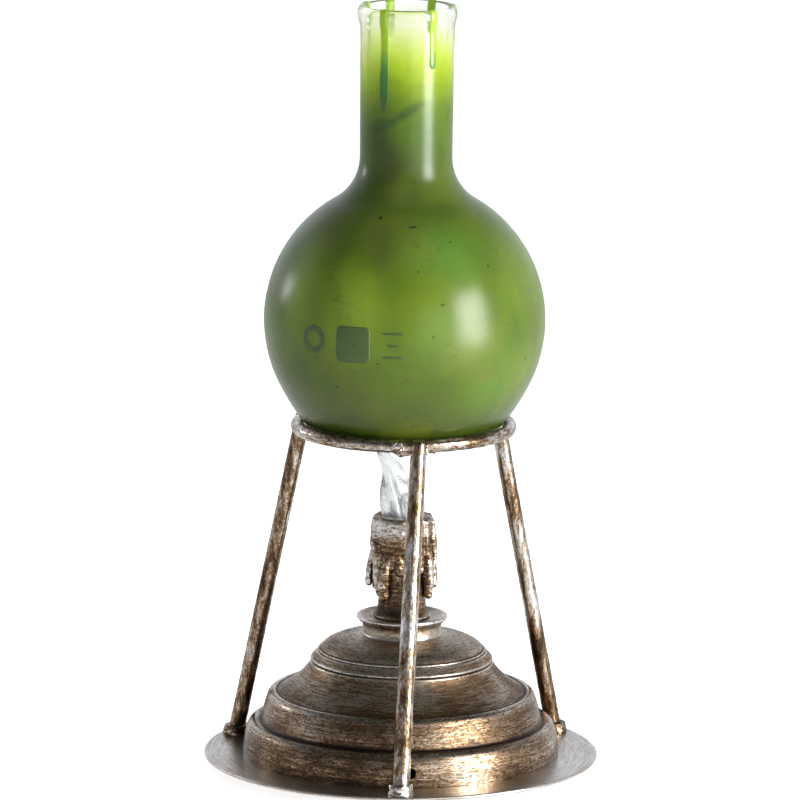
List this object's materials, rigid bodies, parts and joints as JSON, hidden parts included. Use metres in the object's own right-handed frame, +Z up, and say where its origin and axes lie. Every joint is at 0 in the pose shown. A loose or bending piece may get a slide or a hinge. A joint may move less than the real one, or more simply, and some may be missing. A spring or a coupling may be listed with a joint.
{
  "type": "flask lamp on tripod stand",
  "caption": "Flat-bottomed green glass flask resting in the ring of a welded tripod, over a battery candle on a stepped metal base.",
  "frame": {"origin": "centre of the base plate, on the surface that the foot pads rest on", "axes": "+Z up along the flask's neck, -Y to the front, where the front leg stands, +X to the right"},
  "size_m": [0.148, 0.148, 0.2879],
  "materials": {
    "green_glass": "frosted translucent green, uneven and smoke stained",
    "antique_silver": "antique silver rubbed over brown, brushed round the turning",
    "candle_paint": "antique silver over brown on cast resin",
    "clear_flame": "clear moulded, softly fluted",
    "lamp": "amber tinted lens",
    "white_plastic": "moulded",
    "pad_rubber": "matt black",
    "black_plastic": "fine spark texture",
    "slider_plastic": "moulded light grey",
    "zinc_steel": "zinc plated",
    "brass_tube": "plain threaded tube",
    "contact_nickel": "nickel plated spring steel",
    "cell_jacket": "plain printed jacket over a steel can",
    "red_lead": "PVC insulation",
    "black_lead": "PVC insulation"
  },
  "bodies": {
    "stand": {"ring": "antique_silver", "leg_front": "antique_silver", "leg_right": "antique_silver", "leg_left": "antique_silver", "leg_collar_front": "antique_silver", "leg_collar_right": "antique_silver", "leg_collar_left": "antique_silver", "base_plate": "antique_silver", "foot_pad_1": "pad_rubber", "foot_pad_2": "pad_rubber", "foot_pad_3": "pad_rubber", "foot_pad_4": "pad_rubber", "stepped_cover": "antique_silver", "cover_screws": "zinc_steel", "cover_nuts": "zinc_steel", "candle_cup": "antique_silver", "stem_tube": "brass_tube", "stem_washer": "zinc_steel", "stem_nut": "zinc_steel", "candle_tube": "candle_paint", "wax_sleeve": "candle_paint", "led_holder": "white_plastic", "led": "lamp", "flame_tip": "clear_flame", "battery_box": "black_plastic", "box_screws": "zinc_steel", "battery_1": "cell_jacket", "battery_2": "cell_jacket", "contact_spring_1": "contact_nickel", "contact_spring_2": "contact_nickel", "contact_bridge": "contact_nickel", "contact_tags": "contact_nickel", "switch_body": "black_plastic", "lead_positive": "red_lead", "lead_negative": "black_lead", "lead_switch": "black_lead"},
    "flask": {"flask": "green_glass"},
    "battery_door": {"battery_door": "black_plastic"},
    "switch_slider": {"switch_slider": "slider_plastic"}
  },
  "joints": [
    {"name": "flask_lift", "type": "slide", "parent": "stand", "child": "flask", "axis": [0, 0, 1], "range_m": [0, 0.12]},
    {"name": "battery_door_slide", "type": "slide", "parent": "stand", "child": "battery_door", "axis": [1, 0, 0], "range_m": [0, 0.062]},
    {"name": "switch_slide", "type": "slide", "parent": "stand", "child": "switch_slider", "axis": [0, 1, 0], "range_m": [0, 0.003]}
  ]
}
